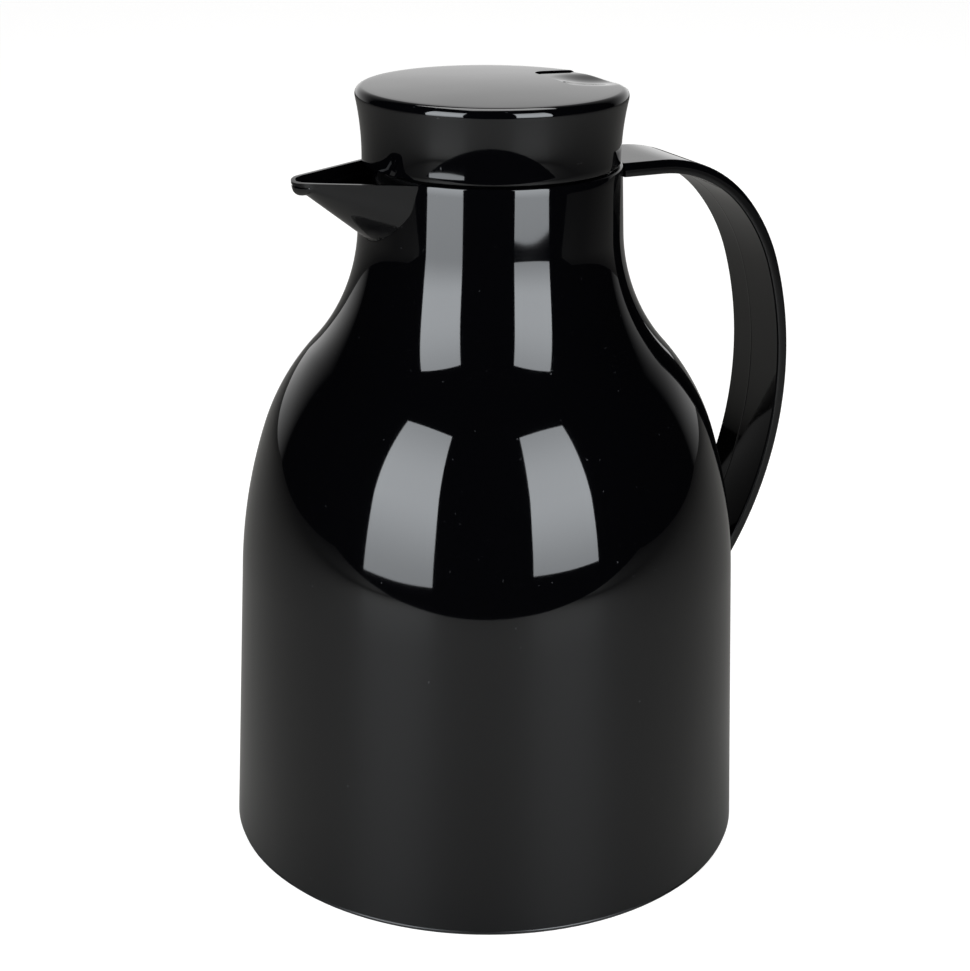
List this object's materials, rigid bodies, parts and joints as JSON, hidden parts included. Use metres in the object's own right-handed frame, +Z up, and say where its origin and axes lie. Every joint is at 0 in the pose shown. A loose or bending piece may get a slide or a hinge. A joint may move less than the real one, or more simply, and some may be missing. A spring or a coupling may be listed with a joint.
{
  "type": "thermal jug",
  "caption": "Bell-shaped glossy black thermal jug with a V spout, a strap handle, a glass vacuum flask inside and a screw-in lid whose thumb lever lifts a sprung pouring valve.",
  "frame": {"origin": "centre of the standing ring, on the plane the jug stands on", "axes": "+Z up along the jug's axis, +X towards the handle, -X towards the spout, +Y completes a right-handed frame"},
  "size_m": [0.1937, 0.173, 0.253],
  "materials": {
    "black_abs": "high gloss, moulded",
    "black_polypropylene": "satin",
    "natural_acetal": "satin",
    "grey_silicone": "soft matte",
    "silvered_glass": "silvered on the vacuum side",
    "fibre_pad": "pressed fibre",
    "stainless_steel": "drawn wire"
  },
  "bodies": {
    "jug": {"body_shell": "black_abs", "neck_ring": "black_polypropylene", "pour_collar": "black_abs", "handle": "black_abs", "base_cap": "black_abs", "flask_cushion": "grey_silicone", "flask_outer_wall": "silvered_glass", "flask_inner_wall": "silvered_glass", "flask_spacers": "fibre_pad", "neck_gasket": "grey_silicone"},
    "lid_seal": {"stopper_seal": "grey_silicone"},
    "lid": {"lid_shell": "black_abs", "stopper_body": "black_polypropylene", "stopper_cover": "black_polypropylene", "stem_seal": "grey_silicone", "lever_pin": "stainless_steel", "valve_spring": "stainless_steel"},
    "lever": {"thumb_lever": "black_abs"},
    "valve": {"valve_stem": "natural_acetal", "valve_washer": "grey_silicone", "valve_disc": "natural_acetal", "stem_nut": "natural_acetal"}
  },
  "joints": [
    {"name": "lid_lift", "type": "slide", "parent": "jug", "child": "lid_seal", "axis": [0, 0, 1], "range_m": [0, 0.06]},
    {"name": "lid_turn", "type": "hinge", "parent": "lid_seal", "child": "lid", "pos_m": [0, 0, 0.2291], "axis": [0, 0, 1], "range_deg": [0, 180]},
    {"name": "lever_press", "type": "hinge", "parent": "lid", "child": "lever", "pos_m": [0.017, 0, 0.24277], "axis": [0, 1, 0], "range_deg": [0, 8], "stiffness_Nm_per_rad": 0.6, "springref_deg": -5.73},
    {"name": "valve_lift", "type": "slide", "parent": "lid", "child": "valve", "axis": [0, 0, 1], "range_m": [0, 0.0025], "deforming": ["valve_spring"]}
  ],
  "couplings": [
    {"joint": "valve_lift", "follows": "lever_press", "m_per_rad": 0.017}
  ]
}
